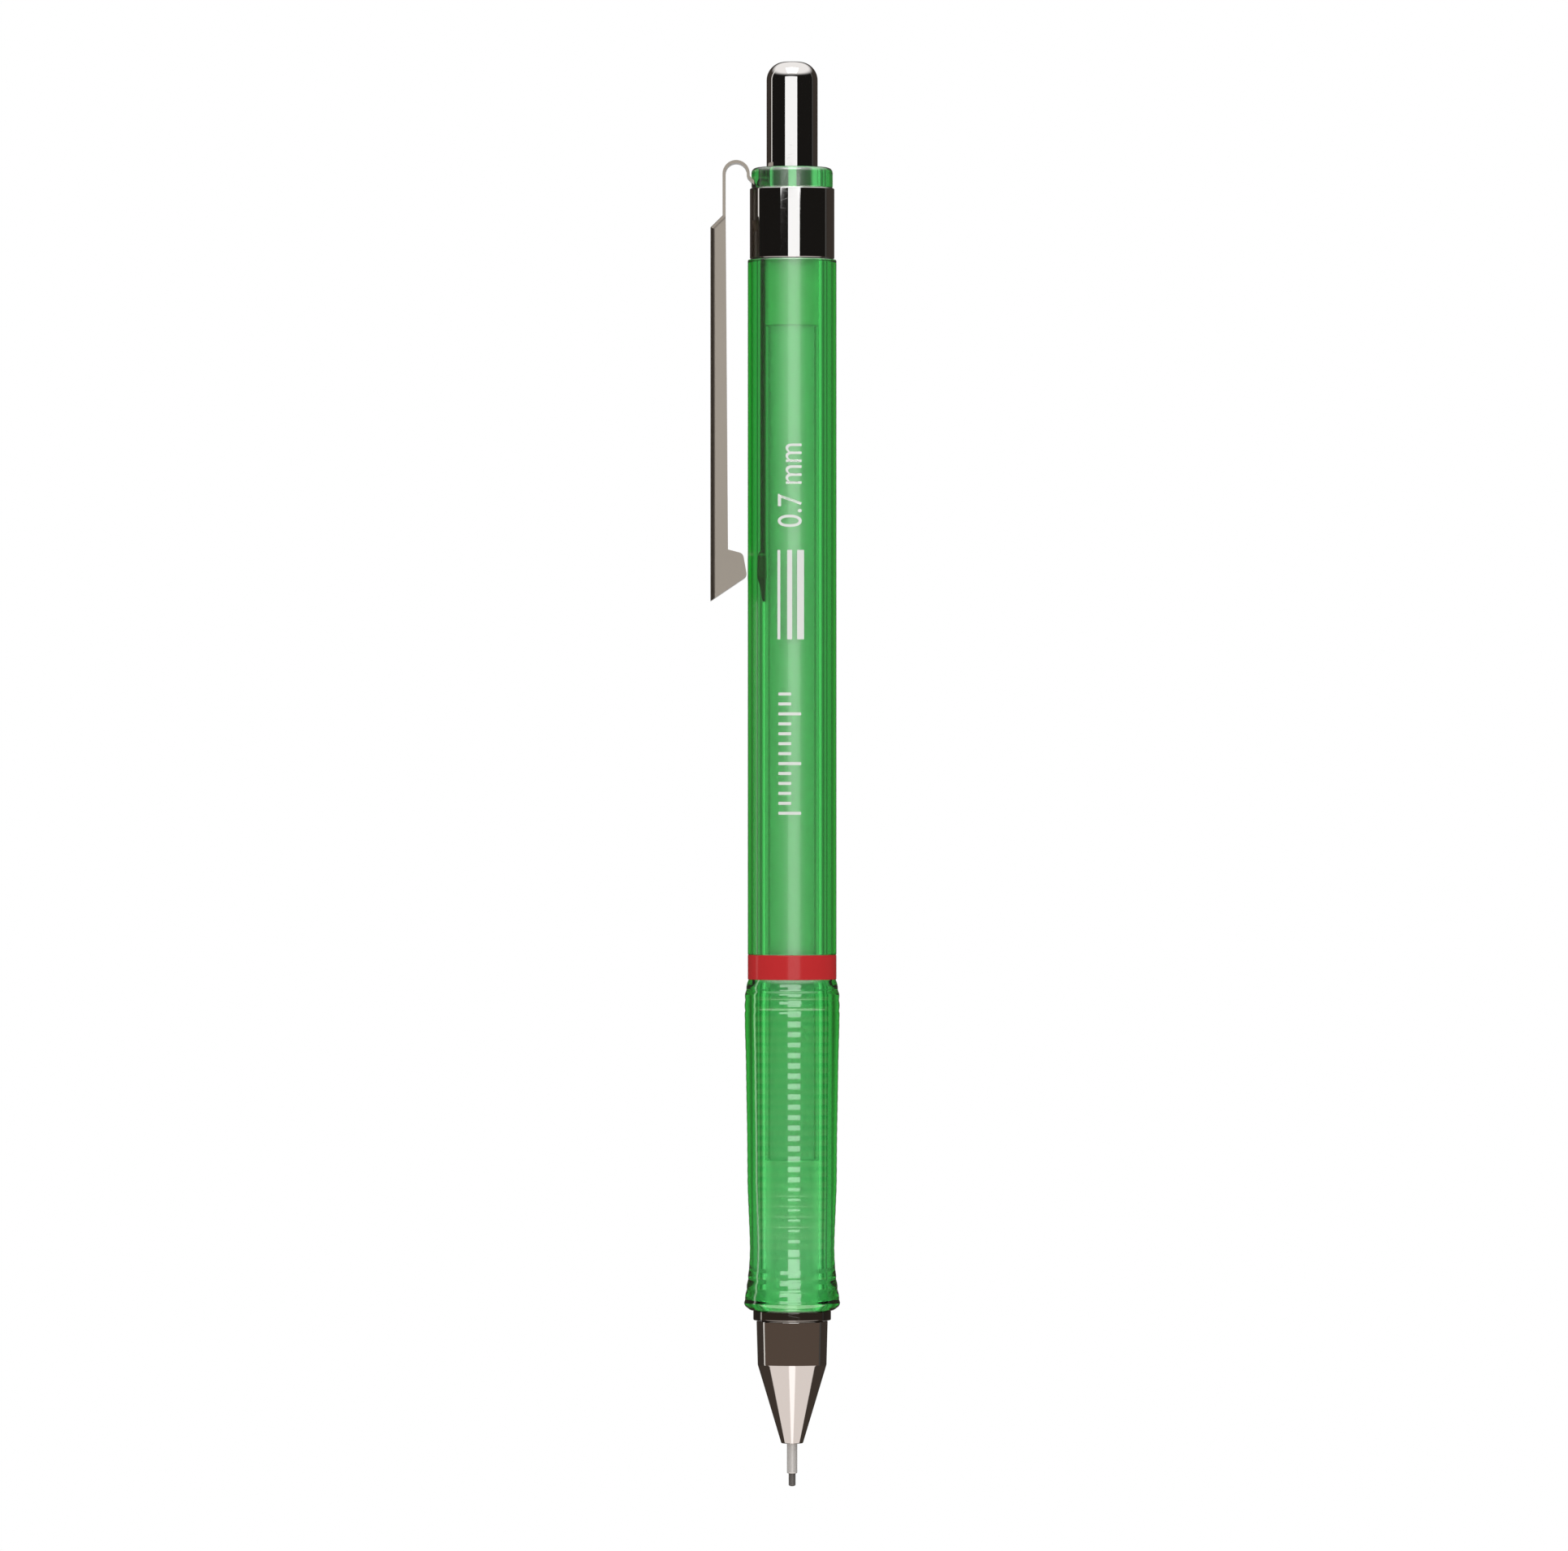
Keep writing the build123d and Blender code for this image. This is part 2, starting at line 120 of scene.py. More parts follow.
def heldOutline(outline, closed):
    # a point is added just inside each end of every long straight side, so that shading keeps it straight
    nextOne = np.roll(outline, -1, 0)
    side = nextOne - outline
    length = np.linalg.norm(side, axis=1, keepdims=True)
    hold = shading["inset"] * side / np.maximum(length, 1e-6)
    rows = np.stack([outline, outline + hold, nextOne - hold], 1)
    keep = np.repeat(length > shading["longSide"], 3, 1)
    keep[:, 0] = True
    if not closed:
        keep[-1, 1:] = False
    return rows[keep]


def turnedPoints(outline, steps):
    # x = r cos a, y = r sin a, z = height, for every outline point and angle a
    a = np.linspace(0, 2 * math.pi, steps, endpoint=False)
    r, z = outline[:, :1], outline[:, 1:]
    return np.stack([r * np.cos(a), r * np.sin(a), z + 0 * a], -1).reshape(-1, 3)


def gridFaces(rows, columns, closeRows, closeColumns):
    # quads between neighbouring rows and columns, wrapping round where a direction is closed
    i = np.arange(rows if closeRows else rows - 1)[:, None]
    j = np.arange(columns if closeColumns else columns - 1)[None]
    a, b = i * columns + j, i * columns + (j + 1) % columns
    c = (i + 1) % rows * columns + (j + 1) % columns
    d = (i + 1) % rows * columns + j
    return np.stack([a, b, c, d], -1).reshape(-1, 4)


def fan(ring, centre, forward):
    # triangles from a ring of points to one centre point, in the order of the ring or against it
    after = np.roll(ring, -1)
    first, second = (ring, after) if forward else (after, ring)
    return np.stack([first, second, ring * 0 + centre], -1).tolist()


def turned(name, outline, around=shading["around"], smoothAngle=shading["smoothAngle"]):
    # closed ring section carried round the axis; it runs so that its outside faces outwards
    outline = np.asarray(outline, float)
    x, z = outline[:, 0], outline[:, 1]
    if np.sum(x * np.roll(z, -1) - np.roll(x, -1) * z) < 0:
        outline = outline[::-1]
    outline = heldOutline(outline, True)
    faces = gridFaces(len(outline), around, True, True).tolist()
    return addMesh(name, turnedPoints(outline, around), faces, smoothAngle)


def turnedSolid(name, outline, around=shading["around"], smoothAngle=shading["smoothAngle"]):
    # outline from the lower pole to the upper one, both on the axis: rings between, a fan at each pole
    outline = heldOutline(np.asarray(outline, float), False)
    rings = turnedPoints(outline[1:-1], around)
    count = len(rings)
    points = np.concatenate([rings, [[0, 0, outline[0, 1]], [0, 0, outline[-1, 1]]]])
    faces = gridFaces(len(outline) - 2, around, False, True).tolist()
    j = np.arange(around)
    faces += fan(j, count, False) + fan(count - around + j, count + 1, True)
    return addMesh(name, points, faces, smoothAngle)


def wear(piece, finish):
    if not piece.material_slots:
        piece.data.materials.append(None)
    for place in piece.material_slots:
        place.material = finishes[finish]


def settle(piece, finish, body, slot, *replaced):
    wear(piece, finish)
    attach(piece, body)
    if replaced:
        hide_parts(*replaced)
    return piece


def plug(tree, socket, value):
    # a socket takes a number, a colour or another node's output
    if isinstance(value, tuple):
        socket.default_value = (*value, 1)
    elif isinstance(value, (int, float)):
        socket.default_value = value
    else:
        tree.links.new(value, socket)


def joinNodes(tree, *pairs):
    for source, target in pairs:
        tree.links.new(source, target)


def mathNode(tree, operation, *values):
    node = tree.nodes.new("ShaderNodeMath")
    node.operation = operation
    for socket, value in zip(node.inputs, values):
        plug(tree, socket, value)
    return node.outputs[0]


def mixNode(tree, mask, first, second):
    node = tree.nodes.new("ShaderNodeMixRGB")
    for socket, value in zip(node.inputs, (mask, first, second)):
        plug(tree, socket, value)
    return node.outputs["Color"]


def objectPoint(tree, stretch=(1, 1, 1), turn=(0, 0, 0)):
    # Object coordinates scaled by stretch, so that a pattern keeps its real size
    place = tree.nodes.new("ShaderNodeTexCoord")
    mapping = tree.nodes.new("ShaderNodeMapping")
    mapping.inputs["Scale"].default_value = stretch
    mapping.inputs["Rotation"].default_value = turn
    tree.links.new(place.outputs["Object"], mapping.inputs["Vector"])
    return mapping.outputs["Vector"]


def socketGroup(name, inputs, outputs):
    group = bpy.data.node_groups.new(name, "ShaderNodeTree")
    for label, value in inputs.items():
        entry = group.interface.new_socket(label, in_out="INPUT", socket_type="NodeSocketFloat")
        entry.default_value = value
    for label in outputs:
        group.interface.new_socket(label, in_out="OUTPUT", socket_type="NodeSocketFloat")
    return group, group.nodes.new("NodeGroupInput"), group.nodes.new("NodeGroupOutput")


markSizes = {
    "inputs": {"Scratch Scale": 900.0, "Scratch Width": 0.03, "Smudge Scale": 160.0},
    # for each set of hair scratches, how far it turns and how it is stretched
    "scratches": ((0.5, (1.0, 1.0, 0.12)), (2.1, (0.3, 1.0, 1.0))),
    "tilt": (1.0, 0.7, 0.4), "smudgeStretch": (1, 1, 0.6), "smudgeDetail": 4.0,
}


def makeHandlingMarks():
    # hair scratches in two directions and soft smudges; height for a bump, smudge for roughness
    s = markSizes
    group, given, result = socketGroup("handlingMarks", s["inputs"], ("Height", "Smudge"))
    scratches = []
    for turn, stretch in s["scratches"]:
        cells = group.nodes.new("ShaderNodeTexVoronoi")
        cells.feature = "DISTANCE_TO_EDGE"
        point = objectPoint(group, stretch, [turn * share for share in s["tilt"]])
        joinNodes(
            group,
            (point, cells.inputs["Vector"]),
            (given.outputs["Scratch Scale"], cells.inputs["Scale"]),
        )
        near = mathNode(group, "LESS_THAN", cells.outputs["Distance"], given.outputs["Scratch Width"])
        scratches.append(near)
    smudge = group.nodes.new("ShaderNodeTexNoise")
    smudge.inputs["Detail"].default_value = s["smudgeDetail"]
    joinNodes(
        group,
        (objectPoint(group, s["smudgeStretch"]), smudge.inputs["Vector"]),
        (given.outputs["Smudge Scale"], smudge.inputs["Scale"]),
        (mathNode(group, "ADD", *scratches), result.inputs["Height"]),
        (smudge.outputs["Fac"], result.inputs["Smudge"]),
    )
    return group


ringLines = {"inputs": {"Pitch": 9000.0}, "stretch": (0.02, 0.02, 1.0), "detail": 3.0}


def makeLatheLines():
    # rings left by turning: noise that changes quickly along the axis and hardly round it
    group, given, result = socketGroup("latheLines", ringLines["inputs"], ("Height",))
    noise = group.nodes.new("ShaderNodeTexNoise")
    noise.inputs["Detail"].default_value = ringLines["detail"]
    joinNodes(
        group,
        (objectPoint(group, ringLines["stretch"]), noise.inputs["Vector"]),
        (given.outputs["Pitch"], noise.inputs["Scale"]),
        (noise.outputs["Fac"], result.inputs["Height"]),
    )
    return group


handlingMarks = makeHandlingMarks()
latheLines = makeLatheLines()


def newFinish(name, **sockets):
    material = bpy.data.materials.new(name)
    material.use_nodes = True
    shader = material.node_tree.nodes["Principled BSDF"]
    for label, value in sockets.items():
        shader.inputs[label.replace("_", " ")].default_value = value
    return material, material.node_tree, shader


def placeGroup(tree, group, **values):
    node = tree.nodes.new("ShaderNodeGroup")
    node.node_tree = group
    for label, value in values.items():
        node.inputs[label.replace("_", " ")].default_value = value
    return node


def bumpFrom(tree, shader, height, strength, distance):
    # distance is in mm
    bump = tree.nodes.new("ShaderNodeBump")
    bump.inputs["Strength"].default_value = strength
    bump.inputs["Distance"].default_value = distance * mm
    joinNodes(tree, (height, bump.inputs["Height"]), (bump.outputs["Normal"], shader.inputs["Normal"]))


def roughnessBetween(tree, shader, mask, low, high):
    spread = tree.nodes.new("ShaderNodeMapRange")
    spread.inputs["To Min"].default_value = low
    spread.inputs["To Max"].default_value = high
    joinNodes(
        tree,
        (mask, spread.inputs["Value"]),
        (spread.outputs["Result"], shader.inputs["Roughness"]),
    )


clearLook = {
    "dye": (0.045, 0.85, 0.29), "tint": (0.97, 1.0, 0.97),
    "ior": 1.5, "coatIor": 2.7, "coatOutside": 3.85, "scratchScale": 700.0, "scratchWidth": 0.012,
    "bumpDepth": 0.01, "smudged": 2.2,
}


def clearGreen(name, density, roughness, gloss, bump):
    # clear body with plain volume absorption, so thick places look deeper than thin ones
    s = clearLook
    material, tree, shader = newFinish(
        name, Transmission_Weight=1.0, IOR=s["ior"], Base_Color=(*s["tint"], 1),
        Coat_IOR=s["coatIor"], Coat_Roughness=gloss,
    )
    radius = tree.nodes.new("ShaderNodeVectorMath")
    radius.operation = "LENGTH"
    tree.links.new(objectPoint(tree, (1, 1, 0)), radius.inputs[0])
    # only the outside is glossy, and not the bore
    outside = mathNode(tree, "GREATER_THAN", radius.outputs["Value"], s["coatOutside"] * mm)
    tree.links.new(outside, shader.inputs["Coat Weight"])
    hairs = {"Scratch_Scale": s["scratchScale"], "Scratch_Width": s["scratchWidth"]}
    marks = placeGroup(tree, handlingMarks, **hairs)
    bumpFrom(tree, shader, marks.outputs["Height"], bump, s["bumpDepth"])
    roughnessBetween(tree, shader, marks.outputs["Smudge"], roughness, roughness * s["smudged"])
    depth = tree.nodes.new("ShaderNodeVolumeAbsorption")
    depth.inputs["Color"].default_value = (*s["dye"], 1)
    depth.inputs["Density"].default_value = density
    tree.links.new(depth.outputs["Volume"], tree.nodes["Material Output"].inputs["Volume"])
    return material


metalLook = {
    "scratchScale": 1100.0, "scratchWidth": 0.01, "bump": 0.25, "bumpDepth": 0.004, "dulled": 0.92,
}


def metalFinish(name, colour, low, high, lines=0.0, scratches=0.15, matteFrom=None, polished=None,
                dull=0.0):
    # roughness runs from low to high with the smudges; above matteFrom the polished metal turns dull
    s = metalLook
    material, tree, shader = newFinish(name, Metallic=1.0 - dull, Base_Color=(*colour, 1))
    hairs = {"Scratch_Scale": s["scratchScale"], "Scratch_Width": s["scratchWidth"]}
    marks = placeGroup(tree, handlingMarks, **hairs)
    rings = placeGroup(tree, latheLines)
    height = mathNode(
        tree, "ADD",
        mathNode(tree, "MULTIPLY", marks.outputs["Height"], scratches),
        mathNode(tree, "MULTIPLY", rings.outputs["Height"], lines),
    )
    bumpFrom(tree, shader, height, s["bump"], s["bumpDepth"])
    roughnessBetween(tree, shader, marks.outputs["Smudge"], low, high)
    if matteFrom is not None:
        parts = tree.nodes.new("ShaderNodeSeparateXYZ")
        tree.links.new(objectPoint(tree), parts.inputs[0])
        matte = mathNode(tree, "GREATER_THAN", parts.outputs["Z"], matteFrom * mm)
        dulled = mathNode(tree, "MULTIPLY", matte, s["dulled"])
        joinNodes(
            tree,
            (mathNode(tree, "SUBTRACT", 1.0, dulled), shader.inputs["Metallic"]),
            (mixNode(tree, matte, polished, colour), shader.inputs["Base Color"]),
        )
    return material


plasticLook = {"bump": 0.08, "bumpDepth": 0.01, "smooth": 0.8, "rough": 1.3, "darker": 0.86}


def plasticFinish(name, colour, roughness, **sockets):
    s = plasticLook
    material, tree, shader = newFinish(name, **sockets)
    marks = placeGroup(tree, handlingMarks)
    bumpFrom(tree, shader, marks.outputs["Height"], s["bump"], s["bumpDepth"])
    smudge = marks.outputs["Smudge"]
    roughnessBetween(tree, shader, smudge, roughness * s["smooth"], roughness * s["rough"])
    darker = tuple(part * s["darker"] for part in colour)
    tree.links.new(mixNode(tree, smudge, colour, darker), shader.inputs["Base Color"])
    return material


finishes = {
    "greenBarrel": clearGreen("greenBarrel", 690.0, 0.008, 0.33, 0.03),
    "greenGrip": clearGreen("greenGrip", 540.0, 0.03, 0.11, 0.05),
    "brightChrome": metalFinish("brightChrome", (0.83, 0.82, 0.81), 0.015, 0.04, scratches=0.04),
    "coneChrome": metalFinish("coneChrome", (0.80, 0.78, 0.76), 0.035, 0.07, lines=0.1),
    "clipMetal": metalFinish("clipMetal", (0.36, 0.325, 0.28), 0.26, 0.34),
    "insertNickel": metalFinish(
        "insertNickel", (0.88, 0.88, 0.86), 0.03, 0.06, lines=0.1,
        matteFrom=17.85, polished=(0.36, 0.35, 0.33),
    ),
    "sleeveSteel": metalFinish("sleeveSteel", (0.86, 0.83, 0.80), 0.3, 0.4, lines=0.3, dull=0.5),
    "springWire": metalFinish("springWire", (0.62, 0.62, 0.63), 0.15, 0.3),
    "turnedBrass": metalFinish("turnedBrass", (0.86, 0.62, 0.27), 0.12, 0.28, lines=0.8),
    "bandRed": plasticFinish("bandRed", (0.63, 0.03, 0.033), 0.14),
    "milkyTube": plasticFinish("milkyTube", (0.90, 0.91, 0.89), 0.5, Transmission_Weight=0.12, IOR=1.45),
    "whitePlug": plasticFinish("whitePlug", (0.86, 0.86, 0.83), 0.45),
    "eraserWhite": plasticFinish("eraserWhite", (0.87, 0.87, 0.84), 0.75),
    "retainerBlack": plasticFinish("retainerBlack", (0.02, 0.02, 0.02), 0.6),
    "graphite": plasticFinish("graphite", (0.21, 0.195, 0.185), 0.36, Metallic=0.5),
    "paleSpigot": plasticFinish("paleSpigot", (0.80, 0.93, 0.78), 0.4, Transmission_Weight=0.15, IOR=1.5),
    "printWhite": plasticFinish("printWhite", (0.86, 0.88, 0.84), 0.4),
}


print("finishes made:", len(finishes))


barrelSizes = {
    "bore": 2.75, "core": 3.8, "gap": 0.01, "edge": 0.15, "bandEdge": 0.06, "boreEdge": 0.04, "around": 256,
}


def makeBarrel():
    # a tube whose lower end steps in to the core, where the band sits
    s = barrelSizes
    low, step = zBand + s["gap"], zBandTop + s["gap"]
    outline = roundedOutline([
        (s["bore"], low, 0), (s["core"], low, 0), (s["core"], step, 0), (barrelR, step, s["bandEdge"]),
        (barrelR, zBarrelTop, s["edge"]), (s["bore"], zBarrelTop, s["boreEdge"]),
    ])
    piece = turned("barrelTube", outline, s["around"])
    return settle(piece, "greenBarrel", "body", "green_barrel", "barrel")


gripSizes = {
    "bore": 2.75, "gap": 0.02,
    "ribPitch": 1.054, "ribDepth": 0.022, "endRibDepth": 0.06, "endShare": 0.1, "ribSteps": 8,
    "softness": 4, "softFrom": 0.06, "around": 160,
    # share of the length from the lower end, and how far the ribs stand out from the barrel
    "shares": (0.0, 0.012, 0.022, 0.052, 0.082, 0.13, 0.182, 0.23, 0.277, 0.375, 0.523, 0.672,
               0.768, 0.843, 0.916, 0.955, 0.98, 1.0),
    "standOut": (-0.14, 0.28, 0.4, 0.22, 0.07, -0.13, -0.21, -0.17, -0.1, 0.04, 0.08, 0.17,
                 0.22, 0.3, 0.34, 0.3, 0.14, 0.0),
}


def makeGrip():
    # r = barrel + stand-out(share) - depth * (1 - |sin(pi * share * ribs)|): round ribs with narrow
    # valleys; between the two ends the stand-out is a running mean, so that it has no corners
    s = gripSizes
    ribs = round((zGripTop - zGrip) / s["ribPitch"])
    share = np.linspace(0, 1, ribs * s["ribSteps"] + 1)
    body = np.interp(share, s["shares"], s["standOut"])
    width = 2 * s["softness"] + 1
    soft = np.convolve(np.pad(body, s["softness"], "edge"), np.ones(width) / width, "valid")
    body = np.where((share > s["softFrom"]) & (share < 1 - s["softFrom"]), soft, body)
    depth = np.where(np.minimum(share, 1 - share) < s["endShare"], s["endRibDepth"], s["ribDepth"])
    r = barrelR + body - depth * (1 - np.abs(np.sin(math.pi * share * ribs)))
    low = zGrip + s["gap"]
    outer = np.stack([r, low + share * (zGripTop - low)], -1)
    outline = np.concatenate([outer, [[s["bore"], zGripTop], [s["bore"], low]]])
    piece = turned("gripSleeve", outline, s["around"], shading["ribAngle"])
    return settle(piece, "greenGrip", "body", "green_grip", "grip_sleeve")


bandSizes = {"gap": 0.01, "edge": 0.08}


def makeBand():
    s = bandSizes
    inner = barrelSizes["core"] + s["gap"]
    outline = roundedOutline([
        (inner, zBand, 0), (barrelR, zBand, s["edge"]), (barrelR, zBandTop, s["edge"]),
        (inner, zBandTop, 0),
    ])
    return settle(turned("redBand", outline), "bandRed", "body", "red_plastic", "red_band")


printSizes = {
    "text": "0.7 mm", "textLow": 96.8, "textHigh": 105.2, "digitHeight": 2.46,
    "curveSteps": 4, "curveDepth": 0.01,
    "lift": 0.012, "thick": 0.018, "sideways": -0.25, "slabSteps": 8,
    # line widths drawn as sample bars, then a short scale of 1 mm ticks
    "barWidths": (0.3, 0.5, 0.7), "barLow": 85.5, "barHigh": 94.5, "barStep": 1.1,
    "tickLow": 68.0, "ticks": 13, "tickWidth": 0.3, "tickLength": 1.3, "longTick": 2.3, "longEvery": 5,
}


def wrappedSlabs(low, high, left, right):
    # flat rectangles (height low..high, across left..right) bent onto the barrel of radius R:
    # x = r sin(across / R), y = -r cos(across / R), with r = R + lift below and R + lift + thick above
    s = printSizes
    steps = s["slabSteps"]
    across = np.linspace(left, right, steps)
    near, far = barrelR + s["lift"], barrelR + s["lift"] + s["thick"]
    loopR = np.repeat([far, near], steps)[:, None]
    angle = np.concatenate([across, across[::-1]], 0) / barrelR
    x = np.broadcast_to(loopR * np.sin(angle), (2, *angle.shape))
    y = np.broadcast_to(-loopR * np.cos(angle), (2, *angle.shape))
    height = np.broadcast_to(np.stack([low, high])[:, None], x.shape)
    points = np.stack([x, y, height], -1).transpose(2, 0, 1, 3).reshape(-1, 3)
    i = np.arange(steps - 1)
    cap = np.stack([i, i + 1, 2 * steps - 2 - i, 2 * steps - 1 - i], -1)
    slab = np.concatenate([gridFaces(2, 2 * steps, False, True), cap[:, ::-1], cap + 2 * steps])
    starts = np.arange(len(low))[:, None, None] * 4 * steps
    return points, (slab[None] + starts).reshape(-1, 4)


def wrappedText():
    # plain default lettering as a thin solid, bent the same way: its x runs up the barrel, its y to the
    # left, and its depth from R + lift to R + lift + thick
    s = printSizes
    curve = bpy.data.curves.new("sizeText", "FONT")
    curve.body = s["text"]
    curve.extrude = s["curveDepth"]
    curve.resolution_u = s["curveSteps"]
    holder = bpy.data.objects.new("sizeText", curve)
    mesh = bpy.data.meshes.new_from_object(holder)
    points = np.empty(len(mesh.vertices) * 3)
    mesh.vertices.foreach_get("co", points)
    points = points.reshape(-1, 3)
    faces = [list(face.vertices) for face in mesh.polygons]
    bpy.data.objects.remove(holder)
    bpy.data.meshes.remove(mesh)
    low, high = points.min(0), points.max(0)
    share = (points - low) / (high - low)
    angle = (s["sideways"] + s["digitHeight"] * (0.5 - share[:, 1])) / barrelR
    r = barrelR + s["lift"] + s["thick"] * share[:, 2]
    z = s["textLow"] + share[:, 0] * (s["textHigh"] - s["textLow"])
    return np.stack([r * np.sin(angle), -r * np.cos(angle), z], -1), faces


def makePrint():
    s = printSizes
    widths = np.array(s["barWidths"])
    middle = s["sideways"] + (np.arange(len(widths)) - 1) * s["barStep"]
    barLow, barHigh = np.full((2, len(widths)), [[s["barLow"]], [s["barHigh"]]])
    bars, barFaces = wrappedSlabs(barLow, barHigh, middle - widths / 2, middle + widths / 2)
    count = np.arange(s["ticks"])
    low = s["tickLow"] + count - s["tickWidth"] / 2
    reach = np.where(count % s["longEvery"] == 0, s["longTick"], s["tickLength"])
    left = np.full(s["ticks"], s["sideways"] - s["longTick"] / 2)
    ticks, tickFaces = wrappedSlabs(low, low + s["tickWidth"], left, left + reach)
    text, textFaces = wrappedText()
    faces = barFaces.tolist() + (tickFaces + len(bars)).tolist()
    faces += [[v + len(bars) + len(ticks) for v in face] for face in textFaces]
    piece = addFlat("barrelPrint", np.concatenate([bars, ticks, text]), faces)
    return settle(piece, "printWhite", "body", "white_plastic")


makeBarrel()
makeGrip()
makeBand()
makePrint()
print("barrel, grip and band made")


insertSizes = {
    "sleeve": 2.72, "guide": 2.33, "web": 1.1, "webTop": 17.7, "webLow": 16.7, "chamber": 2.0,
    "spigot": 3.0, "flangeLow": 16.8, "flangeTop": 17.8, "flangeEdge": 0.12,
    "sleeveEdge": 0.1, "guideEdge": 0.05, "pitch": 0.5, "thread": 0.2, "runOut": 0.4, "chamfer": 0.2,
    "threadSteps": 60,
}


def makeInsert():
    # threaded part: r = spigot - depth * (0.5 - 0.5 cos(2 pi z / pitch))
    s = insertSizes
    z = np.linspace(zFlange + s["runOut"], s["flangeLow"] - s["runOut"], s["threadSteps"])
    wave = s["spigot"] - s["thread"] * (0.5 - 0.5 * np.cos(2 * math.pi * (z - z[0]) / s["pitch"]))
    nose = roundedOutline([
        (s["chamber"], zFlange, 0), (s["spigot"] - s["chamfer"], zFlange, 0),
        (s["spigot"], zFlange + s["chamfer"], 0),
    ])
    rest = roundedOutline([
        (s["spigot"], s["flangeLow"], 0), (flangeR, s["flangeLow"], s["flangeEdge"]),
        (flangeR, s["flangeTop"], s["flangeEdge"]), (s["sleeve"], s["flangeTop"], 0),
        (s["sleeve"], zInsertTop, s["sleeveEdge"]), (s["guide"], zInsertTop, s["guideEdge"]),
        (s["guide"], s["webTop"], 0), (s["web"], s["webTop"], 0), (s["web"], s["webLow"], 0),
        (s["chamber"], s["webLow"], 0),
    ])
    outline = np.concatenate([nose, np.stack([wave, z], -1), rest])
    piece = turned("frontInsert", outline)
    return settle(piece, "insertNickel", "body", "insert_metal", "front_insert")


sleeveSizes = {
    "free": 3.05, "bore": 0.38, "wall": 0.525, "shank": 0.675, "shankTop": 6.0,
    "boreEdge": 0.03, "edge": 0.12, "shankEdge": 0.02, "around": 96,
}
zConeTip = zSleeve + sleeveSizes["free"]


def makeGuideSleeve():
    s = sleeveSizes
    outline = roundedOutline([
        (s["bore"], zSleeve, s["boreEdge"]), (s["wall"], zSleeve, s["edge"]), (s["wall"], zConeTip, 0),
        (s["shank"], zConeTip, s["shankEdge"]), (s["shank"], s["shankTop"], 0),
        (s["bore"], s["shankTop"], 0),
    ])
    piece = turned("guideSleeve", outline, s["around"])
    return settle(piece, "sleeveSteel", "tip", "steel", "guide_sleeve")


coneSizes = {
    "tip": 1.1, "tipEdge": 0.12, "shoulder": 3.5, "shoulderZ": 12.3, "shoulderRound": 0.5, "top": 3.621,
    "topEdge": 0.1, "pocket": 1.2, "pocketZ": 6.0, "cavity": 1.75, "cavityZ": 8.2, "cavityEdge": 0.05,
    "stopZ": 13.7, "thread": 3.05,
}


def makeCone():
    s = coneSizes
    hole = sleeveSizes["shank"]
    outline = roundedOutline([
        (hole, zConeTip, 0), (s["tip"], zConeTip, s["tipEdge"]),
        (s["shoulder"], s["shoulderZ"], s["shoulderRound"]), (s["top"], zConeTop, s["topEdge"]),
        (s["thread"], zConeTop, s["topEdge"]), (s["thread"], s["stopZ"], 0),
        (s["cavity"], s["stopZ"], s["cavityEdge"]), (s["cavity"], s["cavityZ"], 0),
        (s["pocket"], s["cavityZ"], 0), (s["pocket"], s["pocketZ"], 0), (hole, s["pocketZ"], 0),
    ])
    return settle(turned("tipCone", outline), "coneChrome", "tip", "satin_chrome", "tip_cone")


leadSizes = {"domeHeight": 0.16, "domeSteps": 8, "around": 64}


def makeLead():
    # writing end worn to a low dome: r = R sin(90 t), z = height * (1 - cos(90 t)), t from 0 to 1
    s = leadSizes
    t = np.linspace(0, 1, s["domeSteps"]) * math.pi / 2
    dome = np.stack([leadR * np.sin(t), s["domeHeight"] * (1 - np.cos(t))], -1)
    outline = np.concatenate([dome, [[leadR, zLeadTop], [0, zLeadTop]]])
    piece = turnedSolid("leadRod", outline, s["around"], shading["ribAngle"])
    return settle(piece, "graphite", "lead", "graphite", "lead")


makeInsert()
makeCone()
makeGuideSleeve()
makeLead()
print("tip made")


bushingSizes = {
    "guide": 2.33, "spigot": 2.72, "neck": 3.9, "capBore": 2.68, "step": 124.5, "collar": 4.12,
    "gap": 0.02, "lowEdge": 0.1, "topRound": 0.55, "boreEdge": 0.12, "spigotEdge": 0.08,
    "innerEdge": 0.04, "around": 256,
}


def makeBushing():
    s = bushingSizes
    low, ledge = zBarrelTop + s["gap"], zRingTop + s["gap"]
    outline = roundedOutline([
        (s["guide"], low, 0), (s["neck"], low, 0), (s["neck"], ledge, 0),
        (s["collar"], ledge, s["lowEdge"]),
        (s["collar"], zCollarTop, s["topRound"]), (s["capBore"], zCollarTop, s["boreEdge"]),
        (s["capBore"], s["step"], 0), (s["guide"], s["step"], 0),
    ])
    collar = turned("bushingCollar", outline, s["around"])
    settle(collar, "greenBarrel", "body", "green_barrel", "rear_bushing")
    # the spigot inside the barrel is left matte, so it is drawn as a piece of its own
    outline = roundedOutline([
        (s["guide"], zBushing, s["innerEdge"]), (s["spigot"], zBushing, s["spigotEdge"]),
        (s["spigot"], zBarrelTop, s["innerEdge"]), (s["guide"], zBarrelTop, 0),
    ])
    spigot = turned("bushingSpigot", outline)
    settle(spigot, "paleSpigot", "body", "green_barrel", "rear_bushing")


ringSizes = {"wall": 0.35, "gap": 0.03, "edge": 0.14, "boreEdge": 0.03, "around": 256}


